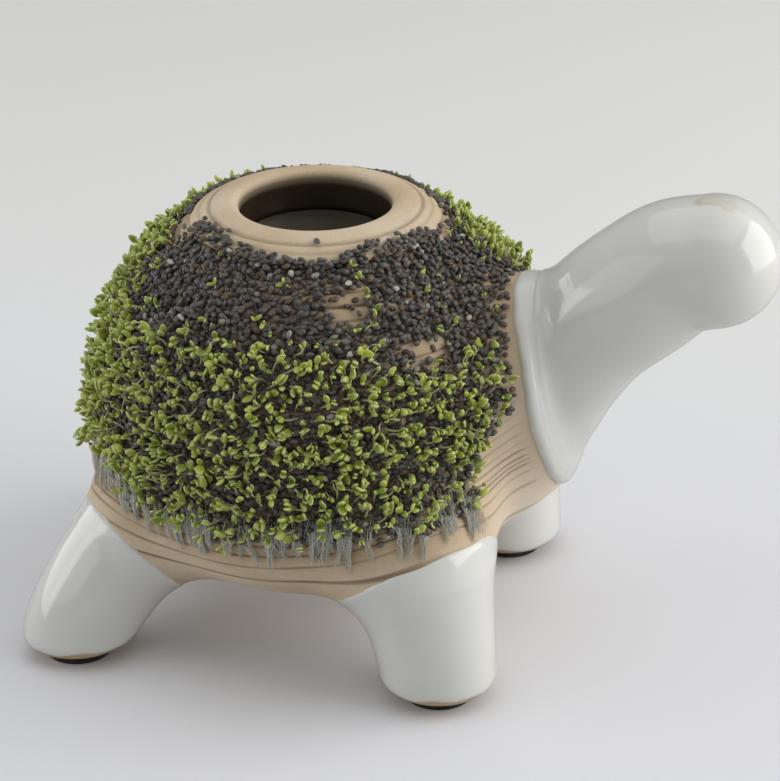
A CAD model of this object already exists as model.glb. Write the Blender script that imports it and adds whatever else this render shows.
# Turtle planter: a grooved clay shell that wears seeds, sprouts and root hairs,
# with a white glazed neck and legs on four rubber pads.
# Pieces are made in millimetres about the mouth's axis, with the head towards +X.
import math

import bpy
import numpy as np
from mathutils import Matrix, Vector


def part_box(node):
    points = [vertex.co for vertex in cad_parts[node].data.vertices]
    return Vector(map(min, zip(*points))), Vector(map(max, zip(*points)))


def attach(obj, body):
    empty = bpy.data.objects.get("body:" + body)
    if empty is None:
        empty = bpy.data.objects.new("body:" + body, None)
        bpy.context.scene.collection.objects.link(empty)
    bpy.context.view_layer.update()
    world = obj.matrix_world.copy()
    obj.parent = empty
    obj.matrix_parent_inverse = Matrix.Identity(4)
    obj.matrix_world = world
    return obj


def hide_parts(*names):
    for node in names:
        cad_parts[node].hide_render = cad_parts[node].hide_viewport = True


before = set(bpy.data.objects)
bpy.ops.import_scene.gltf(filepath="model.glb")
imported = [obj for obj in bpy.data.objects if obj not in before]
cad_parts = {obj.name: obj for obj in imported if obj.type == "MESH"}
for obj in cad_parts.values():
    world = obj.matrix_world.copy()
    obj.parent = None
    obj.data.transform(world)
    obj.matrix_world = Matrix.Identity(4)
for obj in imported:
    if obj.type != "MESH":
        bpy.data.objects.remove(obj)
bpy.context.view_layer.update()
print("frame loaded")

# The cast body, the same sizes as the solids
pot = {"wideRadius": 56, "wideHeight": 54, "domeHeight": 65, "bellyDepth": 37.5, "bellyPower": 2.6,
       "baseHeight": 23, "wall": 5}
rim = {"mouthRadius": 19, "collarRadius": 30.65, "rise": 5.1, "lip": 2.4, "neckDepth": 8,
       "collarStep": 0.8, "ringRadius": 26.5}
shoulder = {"height": 71.3, "proud": 3.1, "lean": 11.2, "halfHeight": 25.8, "halfWidth": 19.5,
            "seam": 1.5, "face": 4.7, "depth": 14}
neck = {"line": [(-8, -20.5), (-0.2, -7.4), (6.4, 4.6), (14.5, 16.3), (24.8, 25.6), (33.8, 32.6),
                 (43.3, 35.2)],  # ahead of the root's centre and above it
        "steps": 60, "rootRadius": 15.8, "headRadius": 17.2, "noseRadius": 16.1,
        "swell": (0.25, 0.7), "taper": (0.58, 1)}
sole = {"height": 2.9, "edge": 4.6, "hipHeight": 36, "cutRadius": 20.6}
frontLeg = {"hipAngle": 47.2, "hipInset": 1.8, "splay": 6.8, "splayAngle": 21.7, "footRadius": 14.2,
            "flare": 4.2, "dipRise": (0.57, 0.39), "dipHeight": 34.3}
rearLeg = {"hipAngle": 142.4, "hipInset": 11.3, "splay": 26.3, "splayAngle": 144.7, "footRadius": 13.7,
           "flare": 2.4, "dipRise": (-0.91, 0.74), "dipHeight": 27.5}
softness = {"leg": 15, "shoulder": 13, "crease": 6, "bandEdge": 3}


def softMin(a, b, soft):
    overlap = np.maximum(soft - np.abs(a - b), 0) / soft
    return np.minimum(a, b) - overlap * overlap * soft / 4


def smoothStep(low, high, x):
    t = np.clip((x - low) / (high - low), 0, 1)
    return t * t * (3 - 2 * t)


def hump(x, width):
    return np.exp(-((x / width) ** 2))


def unit(v):
    return v / np.maximum(np.linalg.norm(v, axis=-1, keepdims=True), 1e-9)


def roundAngles(count):
    return np.arange(count) * 2 * np.pi / count


def around(r, angle, z):
    return np.column_stack([r * np.cos(angle), r * np.sin(angle), z + 0 * angle])


# Half height and roundness of the pot above and below its widest level
def potHalf(z):
    above = z > pot["wideHeight"]
    return np.where(above, pot["domeHeight"], pot["bellyDepth"]), np.where(above, 2.0, pot["bellyPower"])


def potRadius(z, inset=0.0):
    half, power = potHalf(np.asarray(z, float))
    share = np.minimum(np.abs(z - pot["wideHeight"]) / (half - inset), 1)
    return (pot["wideRadius"] - inset) * (1 - share**power) ** (1 / power)


rootX = float(potRadius(shoulder["height"])) + shoulder["proud"]
lean = math.radians(shoulder["lean"])
collarShare = rim["collarRadius"] / pot["wideRadius"]
collarHeight = pot["wideHeight"] + pot["domeHeight"] * math.sqrt(1 - collarShare**2)
collarEdge = rim["collarRadius"] + rim["collarStep"]
rimHeight = collarHeight + rim["rise"]
wallFoot = rimHeight - rim["lip"] - rim["neckDepth"]


# Height of the collar's sloping top
def collarTop(r):
    inner = rim["mouthRadius"] + rim["lip"]
    share = np.maximum(r - inner, 0) / (collarEdge - inner)
    return rimHeight - (rim["rise"] - rim["collarStep"]) * share**1.7


# A curve through the neck's points, eased by the square root of each step
def neckLine(count):
    given = np.array(neck["line"], float) + [rootX, shoulder["height"]]
    padded = np.vstack([2 * given[0] - given[1], given, 2 * given[-1] - given[-2]])
    line = []
    for t in np.linspace(0, len(given) - 1, count + 1):
        i = min(int(t), len(given) - 2)
        w = t - i
        a, b, c, d = padded[i : i + 4]
        ab, bc, cd = [math.sqrt(np.linalg.norm(q - p)) for p, q in ((a, b), (b, c), (c, d))]
        leave = ((b - a) / ab - (c - a) / (ab + bc) + (c - b) / bc) * bc
        arrive = ((c - b) / bc - (d - b) / (bc + cd) + (d - c) / cd) * bc
        line.append(b + leave * w + (3 * (c - b) - 2 * leave - arrive) * w**2
                    + (2 * (b - c) + leave + arrive) * w**3)
    return np.array(line)


neckPoints = neckLine(neck["steps"])


def neckRadius(share):
    root, head, nose = neck["rootRadius"], neck["headRadius"], neck["noseRadius"]
    grown = root + (head - root) * smoothStep(*neck["swell"], share)
    return grown - (head - nose) * smoothStep(*neck["taper"], share)


def neckDistance(p):
    least = np.full(len(p), 1e3)
    for i in range(neck["steps"]):
        start, end = neckPoints[i], neckPoints[i + 1]
        run = end - start
        dx = p[:, 0] - start[0]
        dz = p[:, 2] - start[1]
        share = np.clip((dx * run[0] + dz * run[1]) / (run @ run), 0, 1)
        gap = np.sqrt((dx - share * run[0]) ** 2 + p[:, 1] ** 2 + (dz - share * run[1]) ** 2)
        least = np.minimum(least, gap - neckRadius((i + share) / neck["steps"]))
    return least


# How far a point lies ahead of the oval root's centre, and how far up its face
def acrossSeam(p):
    dx = p[:, 0] - rootX
    dz = p[:, 2] - shoulder["height"]
    forward = dx * math.cos(lean) + dz * math.sin(lean)
    up = dz * math.cos(lean) - dx * math.sin(lean)
    return forward, up


def shoulderDistance(p):
    forward, up = acrossSeam(p)
    oval = np.hypot(p[:, 1] / shoulder["halfWidth"], up / shoulder["halfHeight"])
    side = (oval - 1) * shoulder["halfWidth"]
    middle = (shoulder["face"] - shoulder["depth"]) / 2
    ends = np.abs(forward - middle) - (shoulder["face"] + shoulder["depth"]) / 2
    return -softMin(-side, -ends, softness["bandEdge"])


def potDistance(p):
    half, power = potHalf(p[:, 2])
    out = np.hypot(p[:, 0], p[:, 1])
    up = np.abs(p[:, 2] - pot["wideHeight"])
    scale = ((out / pot["wideRadius"]) ** power + (up / half) ** power) ** (1 / power)
    return np.maximum(np.hypot(out, up) * (1 - 1 / np.maximum(scale, 0.01)), pot["baseHeight"] - p[:, 2])


def makeLeg(kind, side):
    reach = float(potRadius(sole["hipHeight"])) - kind["hipInset"]
    turn, splay = math.radians(kind["hipAngle"]), math.radians(kind["splayAngle"])
    hip = np.array([reach * math.cos(turn), side * reach * math.sin(turn)])
    foot = hip + kind["splay"] * np.array([math.cos(splay), side * math.sin(splay)])
    return {**kind, "side": side, "hip": hip, "foot": foot}


def legShare(z):
    return np.maximum((np.asarray(z, float) - sole["height"]) / (sole["hipHeight"] - sole["height"]), 0)


def legAxis(leg, z):
    return leg["foot"] + (leg["hip"] - leg["foot"]) * (legShare(z) ** 1.4)[..., None]


def legDistance(leg, p):
    level = np.minimum(p[:, 2], sole["hipHeight"])
    offset = np.column_stack([p[:, :2] - legAxis(leg, level), p[:, 2] - level])
    rise = legAxis(leg, level + 0.5) - legAxis(leg, level - 0.5)
    along = unit(np.column_stack([rise, np.ones(len(p))]))
    run = (offset * along).sum(1)
    run = np.where((p[:, 2] > sole["hipHeight"]) & (run > 0), 0, run)
    gap = np.sqrt(np.maximum((offset**2).sum(1) - run**2, 0))
    side = gap - leg["footRadius"] - leg["flare"] * legShare(level) ** 1.6
    return -softMin(-side, -(sole["height"] - p[:, 2]), sole["edge"])


legs = {"front_left": makeLeg(frontLeg, 1), "front_right": makeLeg(frontLeg, -1),
        "rear_left": makeLeg(rearLeg, 1), "rear_right": makeLeg(rearLeg, -1)}


# Degrees from the head, -180 to 180
def degreesOf(angle):
    return (np.degrees(angle) + 180) % 360 - 180


def fromHip(kind, angle):
    return np.degrees(np.arccos(np.cos(angle))) - kind["hipAngle"]


# Below 0 inside the body, above 0 outside it. The neck and the legs are left out where they are far.
def bodyDistance(p, neckFrom=28, legsUpTo=66):
    body = potDistance(p)
    ahead = p[:, 0] > neckFrom
    if ahead.any():
        q = p[ahead]
        root = softMin(body[ahead], shoulderDistance(q), softness["shoulder"])
        body[ahead] = softMin(root, neckDistance(q), softness["crease"])
    low = p[:, 2] < legsUpTo
    if low.any():
        q = p[low]
        nearest = np.min([legDistance(leg, q) for leg in legs.values()], axis=0)
        body[low] = softMin(body[low], nearest, softness["leg"])
    return body


# Distance along each ray from inside the body to its skin
def toSkin(start, way, reach=26.0, rounds=22):
    t = np.zeros(len(start))
    live = np.arange(len(start))
    for _ in range(rounds):
        step = bodyDistance(start[live] + way[live] * t[live][:, None])
        t[live] = np.clip(t[live] - 0.95 * step, -2, reach)
        live = live[np.abs(step) > 0.01]
        if not len(live):
            break
    return t


def normalAt(p, step=0.2):
    slope = [bodyDistance(p + axis * step) - bodyDistance(p - axis * step) for axis in np.eye(3)]
    return unit(np.array(slope).T)


# Rays to the skin beside a point of the pot at an angle and a height, level ones on the belly
def skinBeside(angle, z):
    slope = np.where(z < pot["wideHeight"], 0, potRadius(z + 0.5) - potRadius(z - 0.5))
    way = unit(around(1, angle, -slope))
    start = around(potRadius(z), angle, z) - way * 0.5
    return start, way, toSkin(start, way)


# Above 0 where a leg's glaze covers the clay
def underGlaze(leg, p):
    middle = legAxis(leg, leg["dipHeight"])
    ahead, outwards = leg["dipRise"]
    x, y = p[:, 0] - middle[0], p[:, 1] - middle[1]
    top = p[:, :2] - middle  # where the point would lie at the top of the slanting glazed leg
    for _ in range(3):
        topHeight = leg["dipHeight"] + ahead * top[:, 0] + outwards * leg["side"] * top[:, 1]
        lower = np.clip((topHeight - p[:, 2]) / (topHeight + 5), 0, 1)[:, None]
        top = p[:, :2] - middle - (leg["foot"] - middle) * lower
    turned = np.arctan2(y * leg["side"], x)
    wave = 0.35 * np.sin(3 * turned + 1) + 0.2 * np.sin(7 * turned + leg["footRadius"])
    dip = leg["dipHeight"] + ahead * x + outwards * leg["side"] * y + wave
    return softMin(dip - p[:, 2], sole["cutRadius"] - np.linalg.norm(top, axis=1), 3)


def underAnyGlaze(p):
    return np.max([underGlaze(leg, p) for leg in legs.values()], axis=0)


# Meshes. Every closed body is a first tip, rings of points, and a last tip.
padLow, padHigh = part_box("foot_pad_front_right")
padCentre = np.array([(low + high) * 500 for low, high in zip(padLow, padHigh)])
toFrame = np.array([*(padCentre[:2] - legs["front_right"]["foot"]), 0])


def closed(first, rings, last):
    return np.vstack([[first], *rings, [last]])


def bodyFaces(rows, columns):
    i = np.arange(columns)
    j = (i + 1) % columns
    first = np.column_stack([np.zeros(columns, int), 1 + j, 1 + i])
    at = 1 + np.arange(rows - 1)[:, None] * columns
    quads = np.stack([at + i, at + j, at + columns + j, at + columns + i], axis=-1).reshape(-1, 4)
    top = 1 + (rows - 1) * columns
    last = np.column_stack([np.full(columns, rows * columns + 1), top + i, top + j])
    return [np.vstack([first, last]), quads]


def copiedFaces(faces, count, each):
    shift = (np.arange(count) * each)[:, None, None]
    return [(f[None] + shift).reshape(-1, f.shape[1]) for f in faces]


def addMesh(name, points, faces, material, replaces=(), marks=None):
    mesh = bpy.data.meshes.new(name)
    points = (points + toFrame) / 1000
    corners = np.concatenate([f.reshape(-1) for f in faces]).astype(np.int32)
    sizes = np.concatenate([np.full(len(f), f.shape[1]) for f in faces])
    starts = np.concatenate([[0], np.cumsum(sizes)[:-1]]).astype(np.int32)
    mesh.vertices.add(len(points))
    mesh.vertices.foreach_set("co", points.astype(np.float32).reshape(-1))
    mesh.loops.add(len(corners))
    mesh.loops.foreach_set("vertex_index", corners)
    mesh.polygons.add(len(sizes))
    mesh.polygons.foreach_set("loop_start", starts)
    mesh.update(calc_edges=True)
    mesh.validate()
    mesh.polygons.foreach_set("use_smooth", np.ones(len(mesh.polygons), bool))
    for label, values in (marks or {}).items():
        layer = mesh.attributes.new(label, "FLOAT", "POINT")
        layer.data.foreach_set("value", np.asarray(values, np.float32))
    mesh.materials.append(material)
    piece = bpy.data.objects.new(name, mesh)
    bpy.context.scene.collection.objects.link(piece)
    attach(piece, "root")
    if replaces:
        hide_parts(*replaces)
    return piece


# What grows round the shell, shared out by angle over a count of pieces
def shareOut(places, pieces):
    order = np.argsort(np.arctan2(places[:, 1], places[:, 0]), kind="stable")
    return enumerate(np.array_split(order, pieces), 1)


# Round tubes along many paths at once, each with a tip at both ends
def tubes(paths, radii, sides):
    along = unit(np.gradient(paths, axis=1))
    aside = unit(np.cross(along, [0.31, 0.87, 0.38]))
    over = np.cross(along, aside)
    turned = roundAngles(sides)[:, None]
    ring = aside[:, :, None] * np.cos(turned) + over[:, :, None] * np.sin(turned)
    rings = (paths[:, :, None] + ring * radii[:, :, None, None]).reshape(len(paths), -1, 3)
    return np.concatenate([paths[:, :1], rings, paths[:, -1:]], axis=1)


# Materials
def linear(red, green, blue):
    return [((c / 255 + 0.055) / 1.055) ** 2.4 if c > 10 else c / 3294 for c in (red, green, blue)] + [1]


def grey(value):
    return (value, value, value, 1)


def feed(tree, socket, value):
    if isinstance(value, bpy.types.NodeSocket):
        tree.links.new(value, socket)
    else:
        socket.default_value = value


def noise(tree, scale, detail=4.0, stretch=(1, 1, 1)):
    place = tree.nodes.new("ShaderNodeTexCoord")
    mapping = tree.nodes.new("ShaderNodeMapping")
    mapping.inputs["Scale"].default_value = stretch
    tree.links.new(place.outputs["Object"], mapping.inputs["Vector"])
    made = tree.nodes.new("ShaderNodeTexNoise")
    made.inputs["Scale"].default_value = scale
    made.inputs["Detail"].default_value = detail
    tree.links.new(mapping.outputs["Vector"], made.inputs["Vector"])
    return made.outputs["Fac"]


def mark(tree, name):
    made = tree.nodes.new("ShaderNodeAttribute")
    made.attribute_name = name
    return made.outputs["Fac"]


def ramp(tree, share, stops):
    made = tree.nodes.new("ShaderNodeValToRGB")
    band = made.color_ramp
    while len(band.elements) < len(stops):
        band.elements.new(0.5)
    for element, (position, colour) in zip(band.elements, stops):
        element.position = position
        element.color = colour
    feed(tree, made.inputs["Fac"], share)
    return made.outputs["Color"]


def mixColour(tree, share, low, high, way="MIX"):
    made = tree.nodes.new("ShaderNodeMix")
    made.data_type = "RGBA"
    made.blend_type = way
    feed(tree, made.inputs["Factor"], share)
    feed(tree, made.inputs[6], low)
    feed(tree, made.inputs[7], high)
    return made.outputs[2]


# A material from what a function of its nodes gives: socket values, and bumps by height, distance
# and strength
def makeLook(name, roughness, nodes):
    material = bpy.data.materials.new(name)
    material.use_nodes = True
    tree = material.node_tree
    shader = tree.nodes["Principled BSDF"]
    shader.inputs["Roughness"].default_value = roughness
    given = nodes(tree)
    for height, distance, strength in given.pop("bumps", ()):
        made = tree.nodes.new("ShaderNodeBump")
        sockets = {"Distance": distance, "Strength": strength, "Height": height}
        if "Normal" in given:
            sockets["Normal"] = given["Normal"]
        for label, value in sockets.items():
            feed(tree, made.inputs[label], value)
        given["Normal"] = made.outputs["Normal"]
    for label, value in given.items():
        feed(tree, shader.inputs[label], value)
    return material


clay = {"colour": linear(220, 200, 170), "shade": linear(210, 187, 154), "pale": linear(228, 211, 184),
        "dry": linear(243, 229, 208), "damp": linear(182, 156, 122), "cut": linear(112, 88, 64),
        "wet": linear(52, 42, 30)}


def clayNodes(tree):
    cloudy = [(0.35, clay["shade"]), (0.5, clay["colour"]), (0.68, clay["pale"])]
    wheel = ramp(tree, noise(tree, 40, 2, (1, 1, 22)), [(0.38, grey(0.94)), (0.62, grey(1))])
    turned = mixColour(tree, 0.6, ramp(tree, noise(tree, 45), cloudy), wheel, "MULTIPLY")
    grains = ramp(tree, noise(tree, 1500, 2), [(0.3, grey(0.88)), (0.5, grey(1)), (0.72, grey(1.04))])
    colour = mixColour(tree, 0.6, turned, grains, "MULTIPLY")
    for name in ("dry", "damp", "cut", "wet"):
        colour = mixColour(tree, mark(tree, name), colour, clay[name])
    rough = ramp(tree, mark(tree, "wet"), [(0, grey(0.78)), (1, grey(0.22))])
    throwing = noise(tree, 40, 2, (1, 1, 20))
    return {"Base Color": colour, "Roughness": rough,
            "bumps": [(throwing, 0.0003, 0.2), (noise(tree, 1300, 3), 0.0001, 0.5)]}


glaze = {"colour": linear(236, 236, 232), "shade": linear(226, 227, 222), "clay": linear(200, 172, 134),
         "stain": linear(196, 180, 140), "stainAt": (101.5, -1.2, 122), "stainReach": 3.1}


def glazeNodes(tree):
    soft = ramp(tree, noise(tree, 28, 3), [(0.35, glaze["shade"]), (0.65, glaze["colour"])])
    blotted = mixColour(tree, mark(tree, "stain"), soft, glaze["stain"])
    bare = mark(tree, "bare")
    return {"Base Color": mixColour(tree, bare, blotted, glaze["clay"]),
            "Roughness": ramp(tree, bare, [(0, grey(0.12)), (1, grey(0.7))]),
            "Coat Weight": 0.35, "Coat Roughness": 0.06, "Specular IOR Level": 0.55,
            "bumps": [(noise(tree, 55, 2), 0.0012, 0.12), (noise(tree, 420, 2), 0.0001, 0.12)]}


def rubberNodes(tree):
    dusty = ramp(tree, noise(tree, 300), [(0.4, linear(24, 24, 23)), (0.7, linear(46, 45, 42))])
    return {"Base Color": dusty, "bumps": [(noise(tree, 1800, 2), 0.0001, 0.5)]}


def seedNodes(tree):
    tones = [(0, linear(58, 56, 54)), (0.25, linear(88, 86, 83)), (0.5, linear(114, 111, 107)),
             (0.74, linear(98, 82, 68)), (0.93, linear(124, 106, 88)), (0.96, linear(172, 168, 160)),
             (1, linear(214, 210, 202))]
    speckle = ramp(tree, noise(tree, 1700, 2), [(0.38, grey(0.62)), (0.6, grey(1.05))])
    return {"Base Color": mixColour(tree, 0.8, ramp(tree, mark(tree, "tone"), tones), speckle, "MULTIPLY"),
            "bumps": [(noise(tree, 2600, 2), 0.0001, 0.4)]}


leafColours = {"dark": linear(112, 132, 34), "mid": linear(156, 174, 52), "light": linear(196, 208, 84),
               "rim": linear(232, 234, 168), "stem": linear(218, 216, 170)}


def leafNodes(tree):
    greens = [(0, leafColours["dark"]), (0.5, leafColours["mid"]), (1, leafColours["light"])]
    uneven = ramp(tree, noise(tree, 900, 2), [(0.35, grey(0.85)), (0.65, grey(1.05))])
    colour = mixColour(tree, 0.7, ramp(tree, mark(tree, "tone"), greens), uneven, "MULTIPLY")
    for name in ("rim", "stem"):
        colour = mixColour(tree, mark(tree, name), colour, leafColours[name])
    return {"Base Color": colour, "Subsurface Weight": 0.25, "Subsurface Radius": (0.5, 1, 0.2),
            "Subsurface Scale": 0.001, "bumps": [(noise(tree, 1400, 2), 0.0001, 0.3)]}


def hairNodes(tree):
    tones = [(0, linear(176, 170, 152)), (0.6, linear(218, 216, 204)), (1, linear(246, 245, 238))]
    return {"Base Color": ramp(tree, mark(tree, "tone"), tones), "Subsurface Weight": 0.2,
            "Subsurface Scale": 0.001, "bumps": [(noise(tree, 2200, 2), 0.0001, 0.3)]}


def waterNodes(tree):
    deep = ramp(tree, noise(tree, 40, 2), [(0.35, linear(66, 62, 53)), (0.65, linear(76, 72, 62))])
    return {"Base Color": deep, "IOR": 1.33, "bumps": [(noise(tree, 60, 1), 0.0005, 0.05)]}


clayLook = makeLook("buff_clay", 0.8, clayNodes)
glazeLook = makeLook("white_glaze", 0.1, glazeNodes)
rubberLook = makeLook("black_rubber", 0.7, rubberNodes)
seedLook = makeLook("chia_seed", 0.42, seedNodes)
leafLook = makeLook("sprout_green", 0.38, leafNodes)
hairLook = makeLook("root_hair", 0.45, hairNodes)
waterLook = makeLook("dark_water", 0.03, waterNodes)
print("materials made")

# Shell
shell = {
    "columns": 384,
    "grooves": [32.3, 37.5, 41.2, 44.2, 45.9, 47.6, 50, 52.4, 55.2, 58.4, 61.6, 65.4, 70.2, 74.8, 79.2, 83.9,
                88.1, 91.8, 95.2, 98.1, 100.7, 103.2, 105.4],  # heights beside the axis
    "halfWidth": 0.36,
    "bellyWidth": 0.58,
    "depth": 0.42,
    "profile": [(-1.25, -0.1), (-0.8, 0.12), (-0.35, 0.85), (0.1, 1), (0.55, 0.6), (1, 0), (1.4, -0.12)],
    "tilt": 0.07,  # they climb towards the head
    "legLift": (11, 7),  # and over the front and rear legs
    "legSpread": 20,
    "neckLift": 18,  # and up to the neck's root
    "neckSpread": 18,
    "chestSpread": 30,  # dry and faintly grooved this far round from the head
    "rowGap": 1.15,
    "random": 5,
}


def wander(level, angle):
    a = 0.2 * np.sin(angle + level * 0.21) + 0.12 * np.sin(2 * angle - level * 0.34 + 2)
    return a + 0.05 * np.sin(5 * angle + level * 0.5)


# How far the grooves rise over the legs
def overLegs(level, angle):
    bend = 0
    for kind, lift in zip((frontLeg, rearLeg), shell["legLift"]):
        bend = bend + lift * hump(fromHip(kind, angle), shell["legSpread"])
    return bend * smoothStep(26.5, 33, level) * (1 - smoothStep(30, 62, level))


def overNeck(level, angle):
    bend = shell["neckLift"] * hump(degreesOf(angle), shell["neckSpread"])
    return bend * smoothStep(28, 42, level) * (1 - 0.85 * smoothStep(52, 84, level))


# Height, depth and phases of every row of points on the side
def sideRows():
    rng = np.random.default_rng(shell["random"])
    grooved = []
    for at in shell["grooves"]:
        depth = shell["depth"] * rng.uniform(0.5, 1.15)
        wide = shell["bellyWidth" if at < 52 else "halfWidth"] * rng.uniform(0.8, 1.2)
        phases = rng.uniform(0, 6.28, 3)
        grooved += [(at + share * wide, cut * depth, phases) for share, cut in shell["profile"]]
    rows = [(26.8, 0, grooved[0][2])]
    for above in grooved[1:]:
        below = rows[-1][0]
        space = above[0] - below
        parts = int(space / shell["rowGap"]) + 1 if space > 1.3 else 1
        rows += [(below + space * k / parts, 0, above[2]) for k in range(1, parts)]
        rows.append(above)
    return rows


# Where things grow: angles in degrees from the head, heights in millimetres
growth = {"lowEdge": 46.6, "lowTilt": 0.04, "hipLift": (3, 9), "hipSpread": 15,
          "archSide": [(46, 40), (57.2, 32.4), (71.3, 21.8), (78.9, 15), (86.9, 9.2), (95, 4), (98, 0)]}


def lowEdge(angle):
    edge = growth["lowEdge"] + growth["lowTilt"] * pot["wideRadius"] * np.cos(angle)
    for kind, lift in zip((frontLeg, rearLeg), growth["hipLift"]):
        edge = edge + lift * hump(fromHip(kind, angle), growth["hipSpread"])
    return edge + 0.8 * np.sin(9 * angle + 1) + 0.6 * np.sin(23 * angle)


def wholeShell():
    angle = roundAngles(shell["columns"])
    flat = np.zeros(shell["columns"])
    rings, marks = [], []  # marks hold how far each point is cut, damp, wet and dry

    def addRing(points, cut=flat, damp=flat, wet=flat, dry=flat):
        rings.append(points)
        marks.append(np.column_stack([cut, damp, wet, dry]))

    # Distance along each ray, less where glaze hides the clay, and stopped at the neck's seam
    def tuck(start, way, t, hiddenReach):
        covered = underAnyGlaze(start + way * t[:, None])
        hidden = np.minimum(t - 0.7 * smoothStep(0.3, 1.6, covered), hiddenReach)
        t = np.where(covered > 0, hidden, t)
        forward, _ = acrossSeam(start)
        run = way[:, 0] * math.cos(lean) + way[:, 2] * math.sin(lean)
        toPlane = np.where(run > 0.05, (2.6 - forward) / np.maximum(run, 0.05), 99)
        return np.minimum(t, np.maximum(toPlane, 0))

    # Underside, then a fan of rays round the lower edge
    base = pot["baseHeight"]
    baseRadius = float(potRadius(base))
    down = around(0, angle, -1)
    for share in (0.3, 0.55, 0.72, 0.84, 0.92):
        start = around(baseRadius * share, angle, base + 1)
        t = tuck(start, down, toSkin(start, down, 12), 9)
        addRing(start + down * t[:, None])
    for degrees in range(-84, 1, 7):
        tip = math.radians(degrees)
        start = around(baseRadius * 0.92, angle, base + 3.2)
        way = around(math.cos(tip), angle, math.sin(tip))
        t = tuck(start, way, toSkin(start, way, 22), 9 + 9 * math.cos(tip))
        addRing(start + way * t[:, None])

    # Side, with its grooves
    onChest = hump(degreesOf(angle), shell["chestSpread"])
    edge = lowEdge(angle)
    for level, depth, phases in sideRows():
        nearCollar = smoothStep(pot["wideHeight"] + 6, collarHeight - 8, level)
        climb = shell["tilt"] * smoothStep(26.5, 36, level) * (1 - nearCollar) * potRadius(level)
        settle = smoothStep(27, 33, level) * (1 - smoothStep(103, 107, level))
        z = level + climb * np.cos(angle) + wander(level, angle) * settle
        z = z + overLegs(level, angle) + overNeck(level, angle)
        start, way, t = skinBeside(angle, z)
        forward, _ = acrossSeam(start + way * t[:, None])
        strength = 0.75 + 0.25 * np.sin(2 * angle + phases[0]) * np.sin(5 * angle + phases[1])
        strength = strength + 0.12 * np.sin(17 * angle + phases[2])
        strength = strength * smoothStep(-0.2, -2.6, forward) * (1 - 0.5 * onChest)
        t = tuck(start, way, t, 18) - depth * strength
        cut = np.clip(depth / shell["depth"], 0, 1) * np.clip(strength, 0, 1)
        damp = smoothStep(edge - 12, edge - 2, z) * 0.6
        dry = onChest * (1 - smoothStep(70, 95, z))
        addRing(start + way * t[:, None], cut * 0.9, damp * (1 - dry), flat, dry)

    # Collar, with a fine step and a ring cut in it
    def circle(r, z, cut=0.0, wet=0.0):
        wave = 0.12 * np.sin(2 * angle + 0.4) + 0.06 * np.sin(5 * angle)
        r = r + wave * smoothStep(rim["mouthRadius"] - 1, rim["mouthRadius"] + 4, r)
        addRing(around(r, angle, z), flat + cut, flat, flat + wet)

    for out, up, cut in ((1.1, -1.25, 0.2), (0.35, -0.75, 0.7), (0.05, -0.35, 0.8), (0.3, 0.1, 0.3)):
        circle(rim["collarRadius"] + out, collarHeight + up, cut)
    circle(collarEdge - 0.15, collarHeight + 0.4)
    circle(collarEdge - 0.6, float(collarTop(collarEdge - 0.3)))
    for r in np.arange(collarEdge - 1.2, rim["mouthRadius"] + rim["lip"] + 0.4, -0.42):
        ringCut = hump(r - rim["ringRadius"], 0.45)
        faint = 0.3 * hump(r - 29, 0.4)
        circle(r, float(collarTop(r)) - 0.36 * ringCut - 0.3 * faint, 0.55 * ringCut + faint)

    # Rounded lip and the mouth's wet wall
    for degrees in range(90, -1, -9):
        turned = math.radians(degrees)
        r = rim["mouthRadius"] + rim["lip"] * (1 - math.cos(turned))
        circle(r, rimHeight - rim["lip"] * (1 - math.sin(turned)), 0, 0.7 * float(smoothStep(48, 0, degrees)))
    for drop in (0.5, 1, 1.6, 2.2, 2.8, 4, 5, 6, 7, 8):
        wet = 0.7 + 0.3 * float(smoothStep(0, 1.6, drop))
        circle(rim["mouthRadius"], rimHeight - rim["lip"] - drop, 0, wet)
    circle(rim["mouthRadius"] + 2, wallFoot - 1.6, 0, 1)

    # Reservoir
    floor = base + pot["wall"]
    for share in (0.98, 0.94, 0.88, 0.8, 0.7, 0.6, 0.5, 0.4, 0.3, 0.2, 0.12, 0.06, 0.02):
        z = floor + share * (wallFoot - floor)
        circle(float(potRadius(z, pot["wall"])), z, 0, 1)
    circle(float(potRadius(floor + 0.8, pot["wall"])) - 1.5, floor, 0, 1)
    circle(20, floor, 0, 1)

    marked = closed([0, 0, 0, 0], marks, [0, 0, 1, 0])
    print("shell rows", len(rings))
    addMesh("grooved_shell", closed([0, 0, base], rings, [0, 0, floor]), bodyFaces(len(rings), len(angle)),
            clayLook, ["shell"], dict(zip(("cut", "damp", "wet", "dry"), marked.T)))


wholeShell()
print("shell made")

# Legs
legLook = {"columns": 112, "rows": 84, "turnHeight": 9.0, "step": 0.3, "top": 47, "glaze": 0.3,
           "bareMargin": 2.4, "lip": [0.32, 0.33, 0.28, 0.12, -0.25]}


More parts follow.
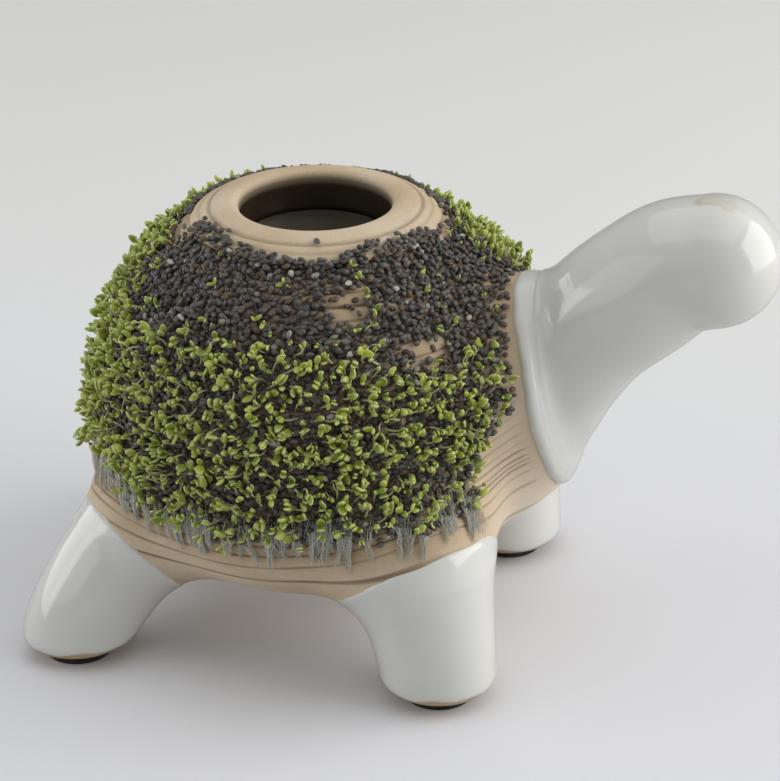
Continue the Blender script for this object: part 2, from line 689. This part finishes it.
def wholeLeg(place, leg):
    angle = roundAngles(legLook["columns"])
    flatWay = around(1, angle, 0)
    paths = []

    def addPath(z, way, rounds=22):
        start = np.tile([*legAxis(leg, z), z], (len(angle), 1))
        paths.append(start + way * toSkin(start, way, 30, rounds)[:, None])

    for degrees in range(-86, -3, 6):
        tip = math.radians(degrees)
        addPath(legLook["turnHeight"], flatWay * math.cos(tip) + [0, 0, math.sin(tip)])
    for z in np.arange(legLook["turnHeight"], legLook["top"], legLook["step"]):
        addPath(z, flatWay, 16)
    paths = np.array(paths)  # rows, columns, xyz
    rings = np.zeros((legLook["rows"], len(angle), 3))
    for i in range(len(angle)):
        line = paths[:, i]
        inside = underGlaze(leg, line)
        over = np.where(inside < 0)[0]
        end = over[0] if len(over) else len(line) - 1
        share = inside[end - 1] / max(inside[end - 1] - inside[end], 1e-6)
        line = np.vstack([line[:end], line[end - 1] + (line[end] - line[end - 1]) * share])
        run = np.concatenate([[0], np.cumsum(np.linalg.norm(np.diff(line, axis=0), axis=1))])
        where = np.linspace(0, 1, legLook["rows"]) ** 0.92 * run[-1]
        where[-1] = run[-1]
        rings[:, i] = np.column_stack([np.interp(where, run, line[:, k]) for k in range(3)])
    normals = normalAt(rings.reshape(-1, 3)).reshape(rings.shape)
    margin = legLook["bareMargin"] + 0.5 * np.sin(3 * angle + leg["side"]) + 0.25 * np.sin(8 * angle)
    glazed = smoothStep(margin - 0.25, margin + 0.25, rings[..., 2] - sole["height"])
    away = np.full(legLook["rows"], legLook["glaze"])
    away[-5:] = legLook["lip"]
    rings += normals * (away[:, None] * glazed)[..., None]
    last = rings[-1] - normals[-1] * 1.2
    middle = np.array([*legAxis(leg, 20), 20.0])
    inner = middle + (last - middle) * 0.6
    points = closed([*leg["foot"], sole["height"]], [rings.reshape(-1, 3), last, inner], middle)
    bare = np.concatenate([[1], 1 - glazed.reshape(-1), np.zeros(2 * len(angle) + 1)])
    addMesh("glazed_leg_" + place, points, bodyFaces(legLook["rows"] + 2, len(angle)), glazeLook,
            ["leg_" + place], {"bare": bare, "stain": np.zeros(len(points))})


for place, leg in legs.items():
    wholeLeg(place, leg)
print("legs made")

# Pads under the feet
pad = {"radius": 8.7, "thickness": 2.6, "round": 0.5, "columns": 72}


def wholePad(place, leg):
    angle = roundAngles(pad["columns"])
    outline = [(pad["radius"] * share, 0) for share in (0.5, 0.85)]
    for base, first in ((pad["round"], -90), (pad["thickness"] - pad["round"], 0)):
        for degrees in range(first, first + 91, 18):
            turned = math.radians(degrees)
            outline.append((pad["radius"] - pad["round"] * (1 - math.cos(turned)),
                            base + pad["round"] * math.sin(turned)))
    outline += [(pad["radius"] * share, pad["thickness"]) for share in (0.85, 0.4)]
    rings = [around(r, angle, z) for r, z in outline]
    points = closed([0, 0, 0], rings, [0, 0, pad["thickness"]]) + [*leg["foot"], 0]
    addMesh("rubber_pad_" + place, points, bodyFaces(len(rings), len(angle)), rubberLook,
            ["foot_pad_" + place])


for place, leg in legs.items():
    wholePad(place, leg)
print("pads made")

# Head and neck. The leans turn the rings upright along the neck, and the lip is how far the glaze
# stands out at a distance from the seam.
head = {"columns": 160, "seamStep": 0.35, "alongStep": 0.9, "seamRun": 7, "glaze": 0.3, "topLap": 2.0,
        "leans": [13, 16, 21, 27, 31, 33, 30, 24, 17, 12], "from": 0.33, "turnReach": 17,
        "lip": ([0, 0.35, 0.8, 1.5, 2.2, 3.2, 4.6, 6], [-0.35, 0.25, 0.55, 0.66, 0.5, 0.2, 0.08, 0.3])}


def seamFrames():
    frames = []
    for step in (0, 1.25, 2.5):
        at = shoulder["seam"] + step
        x, z = rootX + at * math.cos(lean), shoulder["height"] + at * math.sin(lean)
        frames.append((x, z, shoulder["lean"]))
    steps = neck["steps"]
    for share, turned in zip(np.linspace(head["from"], 1, len(head["leans"])), head["leans"]):
        x, z = [np.interp(share * steps, np.arange(steps + 1), neckPoints[:, k]) for k in range(2)]
        frames.append((x, z, turned))
    return np.array(frames)


# A small ragged stain, 0 to 1, darker at part of its edge
def stainShare(points):
    spot = points - np.array(glaze["stainAt"])
    reach = glaze["stainReach"]
    turned = np.arctan2(spot[:, 1], spot[:, 0])
    ragged = 0.5 * np.sin(3 * turned + 1) + 0.3 * np.sin(7 * turned) + 0.15 * np.sin(13 * turned + 2)
    away = np.sqrt((spot[:, 0] / 1.6) ** 2 + spot[:, 1] ** 2) + ragged
    edge = 0.6 * hump(away - reach, 0.5) * smoothStep(-0.9, 0.4, np.sin(turned + 4))
    inside = 0.22 * (1 - smoothStep(reach - 1, reach, away))
    return np.where(points[:, 2] > 112, np.clip(edge + inside, 0, 1), 0)


def wholeHead():
    angle = roundAngles(head["columns"])
    frames = seamFrames()
    steps = np.linalg.norm(np.diff(frames[:, :2], axis=0), axis=1)
    steps = steps + np.radians(np.abs(np.diff(frames[:, 2]))) * head["turnReach"]
    run = np.concatenate([[0], np.cumsum(steps)])
    where = [*np.arange(0, head["seamRun"], head["seamStep"]),
             *np.arange(head["seamRun"], run[-1], head["alongStep"]), run[-1]]
    rings = []
    outside = []
    seamWave = 0.22 * np.sin(3 * angle + 1) + 0.14 * np.sin(7 * angle) + 0.1 * np.sin(19 * angle + 2)
    seamWave = seamWave - head["topLap"] * smoothStep(0.55, 1, np.sin(angle))
    for at in where:
        x, z, turned = [np.interp(at, run, frames[:, k]) for k in range(3)]
        turned = math.radians(turned)
        up = np.array([-math.sin(turned), 0, math.cos(turned)])
        ahead = np.array([math.cos(turned), 0, math.sin(turned)])
        way = np.cos(angle)[:, None] * np.array([0, 1, 0]) + np.sin(angle)[:, None] * up
        settled = 1 - smoothStep(0, 5, at)
        start = np.array([x, 0, z]) + ahead * (seamWave * settled)[:, None]
        rings.append(start + way * toSkin(start, way, 40)[:, None])
        outside.append(np.interp(at, *head["lip"]))
    for degrees in range(5, 90, 5):
        tip = math.radians(degrees)
        fan = way * math.cos(tip) + ahead * math.sin(tip)
        rings.append(start + fan * toSkin(start, fan, 40)[:, None])
        outside.append(head["glaze"])
    rings = np.array(rings)
    normals = normalAt(rings.reshape(-1, 3)).reshape(rings.shape)
    rings += normals * np.array(outside)[:, None, None]
    tip = start[0] + ahead * (neck["noseRadius"] + head["glaze"])
    back = rings[0] - normals[0] * 1.4 - [1.2, 0, 0]
    centre = back.mean(0)
    inner = centre + (back - centre) * 0.5 - [1, 0, 0]
    points = closed(centre - [1.5, 0, 0], [inner, back, rings.reshape(-1, 3)], tip)
    addMesh("glazed_head_and_neck", points, bodyFaces(len(rings) + 2, len(angle)), glazeLook,
            ["head_and_neck"], {"bare": np.zeros(len(points)), "stain": stainShare(points)})


wholeHead()
print("head made")

# Even random spread over the pot's side: angles and heights about one spacing apart
def spread(rng, spacing, low, high):
    z = np.linspace(low, high, 400)
    run = np.concatenate([[0], np.cumsum(np.hypot(np.diff(z), np.diff(potRadius(z))))])
    angles, heights = [], []
    for row, at in enumerate(np.arange(0, run[-1], spacing * 0.87)):
        count = int(2 * np.pi * potRadius(np.interp(at, run, z)) / spacing)
        turn = 2 * np.pi / count
        angles.append((np.arange(count) + 0.5 * (row % 2) + rng.uniform(-0.38, 0.38, count)) * turn)
        heights.append(np.interp(at + rng.uniform(-0.38, 0.38, count) * spacing, run, z))
    return np.concatenate(angles), np.concatenate(heights)


# A smooth random field over the shell, about -1 to 1
def patches(angle, z, first):
    a = np.sin(5 * angle + 0.13 * z + first) * np.cos(0.19 * z - 3 * angle + 2 * first)
    return 0.6 * a + 0.4 * np.sin(11 * angle - 0.31 * z + 3 * first) * np.sin(0.43 * z + 7 * angle + first)


def within(x, low, high, soft):
    return smoothStep(low - soft, low + soft, x) * (1 - smoothStep(high - soft, high + soft, x))


# Above 0 inside the living coat, in millimetres from its edge
def coatDepth(p, angle, z):
    sides = np.array(growth["archSide"])
    archEdge = np.interp(p[:, 2], sides[:, 0], sides[:, 1])
    ragged = 0.9 * np.sin(0.9 * p[:, 2] + 5 * angle) + 0.7 * np.sin(2.3 * p[:, 2])
    beside = np.where(p[:, 0] > 15, np.abs(p[:, 1]) - archEdge + ragged, 20)
    beside = np.where(p[:, 2] > 98, 20, beside)
    forward, _ = acrossSeam(p)
    behindSeam = np.where(p[:, 2] > 50, -forward - 1.5, 20)
    return np.min([beside, z - lowEdge(angle), -underAnyGlaze(p) - 1.5, behindSeam], axis=0)


# Clay that shows through the seeds, and seeds with hardly a sprout: from and to in degrees, how soft
# that edge is, then from and to in height, and how soft
growth["bare"] = [(-72, -56, 3, 97.5, 104.5, 1.2), (-45, -33, 3, 87.5, 91.5, 1), (96, 112, 4, 99, 104, 1.2),
                  (-186, -150, 3, 104.5, 112, 0.8), (-8, 42, 3, 106, 112, 0.8)]
growth["dark"] = [(-152, -60, 9, 89, 96), (-56, 4, 6, 83, 89), (60, 130, 12, 92, 99)]


# 0 to 1, where the clay shows through the seeds
def barePatch(angle, z):
    patch = np.zeros(len(z))
    for left, right, soft, low, high, softHeight in growth["bare"]:
        d = degreesOf(angle)
        if left < -180:
            d = np.where(d > 90, d - 360, d)
        patch = np.maximum(patch, within(d, left, right, soft) * within(z, low, high, softHeight))
    return np.clip(patch + 0.35 * patches(angle, z, 4) * (patch > 0.1), 0, 1)


# 0 to 1, how thickly the sprouts stand
def sproutShare(angle, z):
    dark = np.zeros(len(z))
    for left, right, soft, low, high in growth["dark"]:
        dark = np.maximum(dark, within(degreesOf(angle), left, right, soft) * smoothStep(low, high, z))
    thinned = 1 - 0.35 * smoothStep(0.1, 0.6, patches(angle, z, 1))
    return np.clip(thinned - 0.93 * dark, 0.07, 1)


# Seeds, in three layers. Some spill onto the collar up to spillEdge, angles and radii.
seeds = {"length": 2.05, "width": 1.42, "height": 1.1, "spacing": (1.62, 1.9, 2.6), "lift": (0.35, 1.15, 1.8),
         "keep": (1, 0.92, 0.6), "spill": 250, "skirt": 150, "random": 11, "pieces": 6,
         "spillEdge": [(-147, 28.6), (-140, 27.6), (-124, 27), (-103, 30.2), (-80, 31.2), (-63, 30.8),
                       (-49, 28.4), (-29, 28.6), (-12, 30.4)]}


def seedForm():
    rows, columns = 4, 8
    rings = []
    for row in range(rows):
        turned = math.pi * (row + 1) / (rows + 1)
        x = -math.cos(turned)
        rings.append(around(math.sin(turned) * (1 - 0.16 * x), roundAngles(columns), x)[:, [2, 0, 1]])
    return closed([-1, 0, 0], rings, [1, 0, 0]) / 2, bodyFaces(rows, columns)


# Turns that lay x and y in the surface, spun at random, with z along the normal
def layOn(normals, rng, tip):
    spin = rng.uniform(0, 2 * np.pi, len(normals))
    ref = np.column_stack([np.cos(spin), np.sin(spin), 0.3 * np.sin(3 * spin)])
    x = ref - normals * (ref * normals).sum(1)[:, None]
    x = unit(x + normals * rng.normal(0, tip, len(normals))[:, None])
    y = unit(np.cross(normals, x))
    return np.stack([x, y, np.cross(x, y)], axis=2)


def strewSeeds():
    rng = np.random.default_rng(seeds["random"])
    places, normals = [], []
    for spacing, lift, keep in zip(seeds["spacing"], seeds["lift"], seeds["keep"]):
        angle, z = spread(rng, spacing, 44, collarHeight - 0.4)
        start, way, t = skinBeside(angle, z)
        p = start + way * t[:, None]
        chance = keep * smoothStep(-1.2, 0.6 + lift, coatDepth(p, angle, z))
        chance = chance * (1 - 0.93 * barePatch(angle, z))
        if lift > 1:
            chance = chance * (0.75 + 0.35 * patches(angle, z, 2))
            chance = chance * (0.65 + 0.35 * smoothStep(86, 96, z))
        p = p[(rng.uniform(size=len(z)) < chance) & (t < 25)]
        n = normalAt(p)
        places.append(p + n * (lift + rng.uniform(-0.15, 0.25, len(p)))[:, None])
        normals.append(n)
    turned = rng.uniform(-147, -10, seeds["spill"])
    r = rng.uniform(np.interp(turned, *np.array(seeds["spillEdge"]).T), 32.6)
    spill = around(r, np.radians(turned), collarTop(r) + rng.choice([0.5, 1.3], seeds["spill"]))
    turned = np.radians(rng.uniform(20, 190, seeds["skirt"]))
    r = 31.4 + np.abs(rng.normal(0, 0.8, seeds["skirt"])) * np.sign(np.sin(4 * turned + 1))
    skirt = around(r, turned, collarTop(r) + 0.45)
    lone = [[7.4, -24.6, float(collarTop(25.7)) + 0.5], [8, -25.6, float(collarTop(26.8)) + 1.1]]
    for extra in (spill, skirt, lone):
        places.append(extra)
        normals.append(np.tile([0.0, 0, 1], (len(extra), 1)))
    places, normals = np.vstack(places), np.vstack(normals)
    count = len(places)
    turns = layOn(normals, rng, 0.35)
    size = np.array([seeds["length"], seeds["width"], seeds["height"]])
    sizes = size * rng.normal(1, 0.09, (count, 3)).clip(0.78, 1.25)
    tone = rng.beta(2, 2.2, count) * 0.94
    tone = np.where(rng.uniform(size=count) < 0.022, rng.uniform(0.95, 1, count), tone)
    form, faces = seedForm()
    for number, part in shareOut(places, seeds["pieces"]):
        points = form[None] * sizes[part][:, None]
        points = np.einsum("nij,nvj->nvi", turns[part], points) + places[part][:, None]
        addMesh(f"chia_seeds_{number}", points.reshape(-1, 3), copiedFaces(faces, len(part), len(form)),
                seedLook, ["seed_coat"], {"tone": np.repeat(tone[part], len(form))})
    print("seeds strewn", count)


strewSeeds()

# Sprouts: a curved stem with two fleshy seed leaves
sprouts = {"spacing": 2.55, "stem": (1.6, 4.6), "stemRadius": 0.26, "leaf": (2.45, 1.6, 0.98),
           "opening": (4, 26, 78), "random": 23, "pieces": 5}


# A leaf one unit long and wide, with how far each point is on its pale rim
def leafForm():
    profile = [(0.55, 0.42, 0), (0.88, 0.3, 0.3), (1, 0, 1), (0.88, -0.3, 0.3), (0.55, -0.46, 0)]
    angle = roundAngles(10)
    rings, rims = [], []
    for share, height, atEdge in profile:
        x = 0.5 + 0.5 * share * np.cos(angle)
        y = 0.5 * share * np.sin(angle) * (1 - 0.22 * np.cos(angle))
        rings.append(np.column_stack([x, y, height + 0 * x]))
        rims.append(np.maximum(atEdge, 0.9 * np.maximum(x - 0.72, 0) / 0.28))
    points = closed([0.5, 0, 0.5], rings, [0.5, 0, -0.5])
    return points, np.concatenate([[0], *rims, [0]]), bodyFaces(len(profile), len(angle))


def growSprouts():
    rng = np.random.default_rng(sprouts["random"])
    angle, z = spread(rng, sprouts["spacing"], 45, collarHeight - 0.6)
    start, way, t = skinBeside(angle, z)
    p = start + way * t[:, None]
    thick = sproutShare(angle, z)
    chance = thick * smoothStep(0.2, 1.6, coatDepth(p, angle, z)) * (1 - barePatch(angle, z))
    kept = (rng.uniform(size=len(z)) < chance) & (t < 25)
    grown = smoothStep(0.1, 0.75, thick) * (1 - 0.6 * smoothStep(95, 103, z))
    grown = grown[kept]  # small where they have only just come up
    p = p[kept]
    count = len(p)
    n = normalAt(p)
    heading = unit(0.85 * n + [0, 0, 0.34] + rng.normal(0, 0.42, (count, 3)))
    length = rng.uniform(*sprouts["stem"], count) * (0.35 + 0.65 * grown)
    bend = rng.normal(0, 1, (count, 3))
    bend = unit(bend - heading * (bend * heading).sum(1)[:, None])
    bow = length * rng.uniform(0.05, 0.3, count)
    rows, sides = 5, 5
    share = np.linspace(0, 1, rows)
    along = (p + n * 0.6)[:, None] + heading[:, None] * (share * length[:, None])[..., None]
    paths = along + bend[:, None] * (np.sin(share * np.pi * 0.85) * bow[:, None])[..., None]
    radii = sprouts["stemRadius"] * (1.05 - 0.3 * share) * rng.uniform(0.8, 1.2, (count, 1))
    stems = tubes(paths, radii, sides)

    form, rim, leafFaces = leafForm()
    top = paths[:, -1]
    axis = unit(paths[:, -1] - paths[:, -2])
    aside = unit(np.cross(axis, rng.normal(0, 1, (count, 3))))
    opening = np.radians(rng.triangular(*sprouts["opening"], count))
    sizeOfPair = rng.normal(1, 0.16, count).clip(0.65, 1.4) * (0.72 + 0.28 * grown)
    tone = np.clip(rng.normal(0.5, 0.22, count), 0, 1)
    breadth = rng.uniform(0.8, 1.12, count)
    smaller = rng.uniform(0.6, 1, count)
    bodies = [(stems, bodyFaces(rows, sides), np.zeros(stems.shape[1]), 1)]
    for out, itsSize in ((aside, sizeOfPair), (-aside, sizeOfPair * smaller)):
        if len(bodies) > 1:
            opening = opening * rng.uniform(0.6, 1.5, count)
        x = axis * np.cos(opening)[:, None] + out * np.sin(opening)[:, None]
        z = axis * np.sin(opening)[:, None] - out * np.cos(opening)[:, None]
        size = np.array(sprouts["leaf"]) * itsSize[:, None]
        size[:, 1] *= breadth
        local = form[None] * size[:, None]
        curl = rng.uniform(-0.02, 0.26, count)[:, None]
        local[..., 2] += curl * local[..., 0] ** 2 - 0.1 * local[..., 1] ** 2
        turns = np.stack([x, np.cross(z, x), z], axis=2)
        leaf = np.einsum("nij,nvj->nvi", turns, local) + top[:, None] - axis[:, None] * 0.15
        bodies.append((leaf, leafFaces, rim, 0))
    for number, part in shareOut(p, sprouts["pieces"]):
        points, faces, marks = [], [], []
        shift = 0
        for body, itsFaces, itsRim, isStem in bodies:
            each = body.shape[1]
            points.append(body[part].reshape(-1, 3))
            faces += [f + shift for f in copiedFaces(itsFaces, len(part), each)]
            marks.append([np.repeat(tone[part], each), np.tile(itsRim, len(part)) * 0.7,
                          np.full(len(part) * each, isStem)])
            shift += len(part) * each
        tones, rims, stemmed = np.hstack(marks)
        addMesh(f"sprouts_{number}", np.vstack(points), faces, leafLook, ["sprout_mat"],
                {"tone": tones, "rim": rims, "stem": stemmed})
    print("sprouts grown", count)


growSprouts()

# Root hairs in wet, tapering bundles below the coat's edge
roots = {"bundles": 230, "hairs": 24, "length": (3.5, 8.5), "radius": 0.065, "random": 37, "pieces": 2}


def hangRoots():
    rng = np.random.default_rng(roots["random"])
    bundles = roots["bundles"]

    def perHair(values):
        return np.repeat(values, roots["hairs"])

    rows = 10
    share = np.linspace(0, 1, rows)
    angle = perHair(rng.uniform(0, 2 * np.pi, bundles))
    count = len(angle)
    length = perHair(rng.uniform(*roots["length"], bundles)) * rng.uniform(0.6, 1.05, count)
    length = length * (1 - 0.4 * hump(fromHip(frontLeg, angle), growth["hipSpread"]))
    side = rng.uniform(-1, 1, count) * perHair(rng.uniform(0.7, 2.4, bundles))
    sway = perHair(rng.normal(0, 0.9, bundles))
    rise = rng.triangular(0.3, 2, 8, count)
    waving = rng.uniform(0.15, 0.75, (count, 1)) * share
    wave = np.sin(share * rng.uniform(5, 13, (count, 1)) + rng.uniform(0, 6.28, (count, 1))) * waving
    drawn = 1 - 0.85 * np.sin(np.minimum(share * 1.25, 1) * np.pi / 2) + 0.35 * np.maximum(share - 0.7, 0)
    closing = drawn * side[:, None] + sway[:, None] * share**1.5 + wave
    turned = angle[:, None] + closing / pot["wideRadius"]
    height = (lowEdge(angle) + rise)[:, None] - share * (length + rise)[:, None]
    start, way, t = skinBeside(turned.reshape(-1), height.reshape(-1))
    skin = (start + way * t[:, None]).reshape(count, rows, 3)
    lift = 1.1 - 0.7 * share + rng.uniform(0, 0.9, (count, 1)) * (1 - 0.6 * share)
    lift = lift + 0.3 * np.sin(share * np.pi)
    paths = skin + way.reshape(count, rows, 3) * lift[..., None]
    clear = coatDepth(skin[:, 0], angle, height[:, 0]) > 0.2
    paths = paths[clear & (t.reshape(count, rows).max(1) < 24)]
    count = len(paths)
    points = tubes(paths, roots["radius"] * (1.1 - 0.55 * share) * rng.uniform(0.6, 1.5, (count, 1)), 3)
    each = points.shape[1]
    tone = rng.uniform(0, 1, count)
    for number, part in shareOut(paths[:, 0], roots["pieces"]):
        faces = copiedFaces(bodyFaces(rows, 3), len(part), each)
        addMesh(f"root_hairs_{number}", points[part].reshape(-1, 3), faces, hairLook,
                ["root_fringe"], {"tone": np.repeat(tone[part], each)})
    print("root hairs hung", count)


hangRoots()

# Water up to the foot of the mouth's wall. The outline holds shares of the radius and the depth,
# and how far the surface climbs at the wall.
water = {"height": 102.4, "radius": 18.85, "depth": 8, "columns": 96,
         "outline": [(0.5, 0, 0), (0.85, 0, 0), (0.985, 0, 0.1), (1, 0, 0.45), (0.97, 1, 0), (0.5, 1, 0)]}


def pourWater():
    angle = roundAngles(water["columns"])
    top, depth = water["height"], water["depth"]
    rings = [around(water["radius"] * share, angle, top + climb - low * depth)
             for share, low, climb in water["outline"]]
    points = closed([0, 0, top], rings, [0, 0, top - depth])
    addMesh("water", points, [f[:, ::-1] for f in bodyFaces(len(rings), len(angle))], waterLook)


pourWater()
print("water poured")

# Floor, world and lamps. The paper throws back less light than it shows.
studio = {"near": linear(244, 245, 250), "far": linear(247, 248, 245), "bounce": linear(208, 208, 210),
          "farFrom": 0.02, "farTo": 0.3, "radius": 6, "world": 0.17}


def paperNodes(tree):
    place = tree.nodes.new("ShaderNodeTexCoord")
    split = tree.nodes.new("ShaderNodeSeparateXYZ")
    tree.links.new(place.outputs["Object"], split.inputs["Vector"])
    shift = tree.nodes.new("ShaderNodeMapRange")
    shift.interpolation_type = "SMOOTHSTEP"
    for label, value in {"From Min": studio["farFrom"], "From Max": studio["farTo"],
                         "Value": split.outputs["Y"]}.items():
        feed(tree, shift.inputs[label], value)
    shaded = mixColour(tree, shift.outputs["Result"], studio["near"], studio["far"])
    paper = ramp(tree, noise(tree, 4, 2), [(0.3, grey(0.985)), (0.7, grey(1))])
    pale = mixColour(tree, 1.0, shaded, paper, "MULTIPLY")
    light = tree.nodes.new("ShaderNodeLightPath")
    colour = mixColour(tree, light.outputs["Is Camera Ray"], studio["bounce"], pale)
    return {"Base Color": colour, "Specular IOR Level": 0.2}


def layFloor():
    bpy.ops.mesh.primitive_circle_add(vertices=96, radius=studio["radius"], fill_type="NGON",
                                      location=(0, 0, 0))
    floor = bpy.context.object
    floor.name = "studio_floor"
    floor.data.materials.append(makeLook("studio_paper", 0.6, paperNodes))


def lightWorld():
    world = bpy.data.worlds.new("studio")
    bpy.context.scene.world = world
    world.use_nodes = True
    back = world.node_tree.nodes["Background"]
    back.inputs["Color"].default_value = (0.98, 0.99, 1, 1)
    back.inputs["Strength"].default_value = studio["world"]


lamps = {
    "right_box": {"at": (1.1, 0.19, 0.49), "size": (1.3, 1.1), "watts": 12.7, "colour": (1, 0.985, 0.965)},
    "left_box": {"at": (-1.12, -0.1, 0.3), "size": (1.2, 0.5), "watts": 3.9, "colour": (0.985, 0.99, 1)},
    "front_card": {"at": (-0.74, -0.68, 0.46), "size": (0.95, 0.62), "watts": 1.3, "colour": (1, 1, 1)},
    "top_box": {"at": (0, 0.15, 1.5), "size": (2.2, 2.2), "watts": 10.8, "colour": (1, 1, 1)},
}


def hangLamps():
    for name, lamp in lamps.items():
        light = bpy.data.lights.new(name, "AREA")
        light.shape = "RECTANGLE"
        light.size, light.size_y = lamp["size"]
        light.energy = lamp["watts"]
        light.color = lamp["colour"]
        holder = bpy.data.objects.new(name, light)
        holder.location = lamp["at"]
        aim = Vector((0, 0, 0.06)) - Vector(lamp["at"])
        holder.rotation_euler = aim.to_track_quat("-Z", "Y").to_euler()
        bpy.context.scene.collection.objects.link(holder)


# Camera at the photograph's viewing angle
camera = {"turn": 15.03, "rise": 25.81, "roll": -0.73, "away": 735.49, "aim": (18.58, 0, 62.6),
          "focalPixels": 2891, "imageWidth": 780, "sensor": 36}


def placeCamera():
    turned, raised, rolled = [math.radians(camera[key]) for key in ("turn", "rise", "roll")]
    flat = math.cos(raised)
    back = np.array([math.sin(turned) * flat, -math.cos(turned) * flat, math.sin(raised)])
    spot = np.array(camera["aim"]) + back * camera["away"]
    right = unit(np.cross(-back, [0, 0, 1]))
    up = np.cross(right, -back)
    across = math.cos(rolled) * right + math.sin(rolled) * up
    upright = -math.sin(rolled) * right + math.cos(rolled) * up
    data = bpy.data.cameras.new("camera")
    data.sensor_fit = "HORIZONTAL"
    data.sensor_width = camera["sensor"]
    data.lens = camera["focalPixels"] / camera["imageWidth"] * camera["sensor"]
    data.clip_start, data.clip_end = 0.01, 50
    holder = bpy.data.objects.new("camera", data)
    turn = Matrix([[across[k], upright[k], back[k]] for k in range(3)]).to_4x4()
    turn.translation = Vector((spot + toFrame) / 1000)
    holder.matrix_world = turn
    bpy.context.scene.collection.objects.link(holder)
    bpy.context.scene.camera = holder


layFloor()
lightWorld()
hangLamps()
placeCamera()
bpy.context.scene.view_settings.view_transform = "Standard"
print("studio set")
